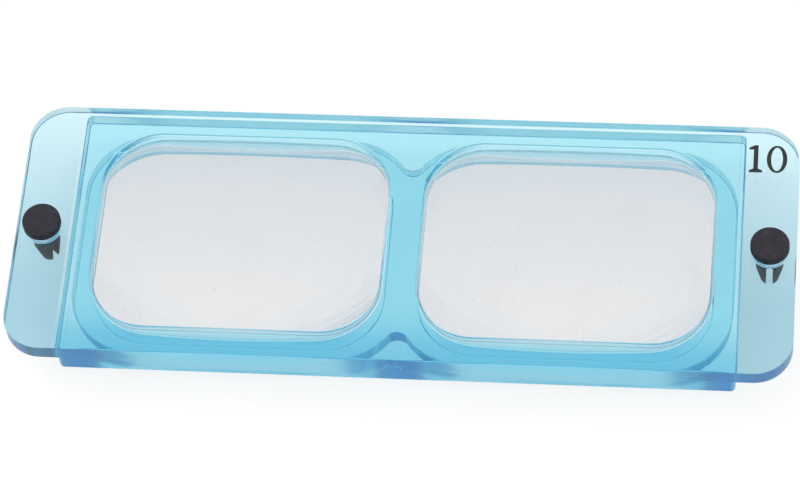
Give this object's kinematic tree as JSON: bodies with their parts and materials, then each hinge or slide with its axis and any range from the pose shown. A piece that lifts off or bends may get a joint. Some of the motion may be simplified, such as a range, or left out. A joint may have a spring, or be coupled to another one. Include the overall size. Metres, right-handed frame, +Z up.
{
  "type": "magnifier visor lens plate",
  "caption": "Interchangeable tinted clear lens plate of a head-worn binocular magnifier, with rounded rectangular glass lenses in deep rims and split push pins through thin end tabs",
  "frame": {"origin": "middle of the plate in plan, in the plane of the rims' lower faces, on which the plate lies", "axes": "+X along the plate towards the tab that carries the printed power, +Y across the plate away from the wall with the gate mark, +Z up through the lenses towards their flatter faces and the pins' heads"},
  "size_m": [0.128, 0.0462, 0.0123],
  "materials": {
    "tinted_acrylic": "clear injection-moulded acrylic, pale cyan tint that deepens with thickness, glossy",
    "lens_glass": "colourless optical glass, polished faces and a ground edge",
    "lens_cement": "hazy clear cement",
    "black_nylon": "moulded black plastic, satin",
    "black_ink": "printed ink, slightly glossy"
  },
  "bodies": {
    "plate": {"lens_plate": "tinted_acrylic", "lens_left": "lens_glass", "lens_right": "lens_glass", "cement_left": "lens_cement", "cement_right": "lens_cement", "power_mark": "black_ink"},
    "pin_left": {"pin_left": "black_nylon"},
    "pin_right": {"pin_right": "black_nylon"}
  },
  "joints": [
    {"name": "pin_left_slide", "type": "slide", "parent": "plate", "child": "pin_left", "axis": [0, 0, 1], "range_m": [0, 0.007]},
    {"name": "pin_right_slide", "type": "slide", "parent": "plate", "child": "pin_right", "axis": [0, 0, 1], "range_m": [0, 0.007]}
  ]
}
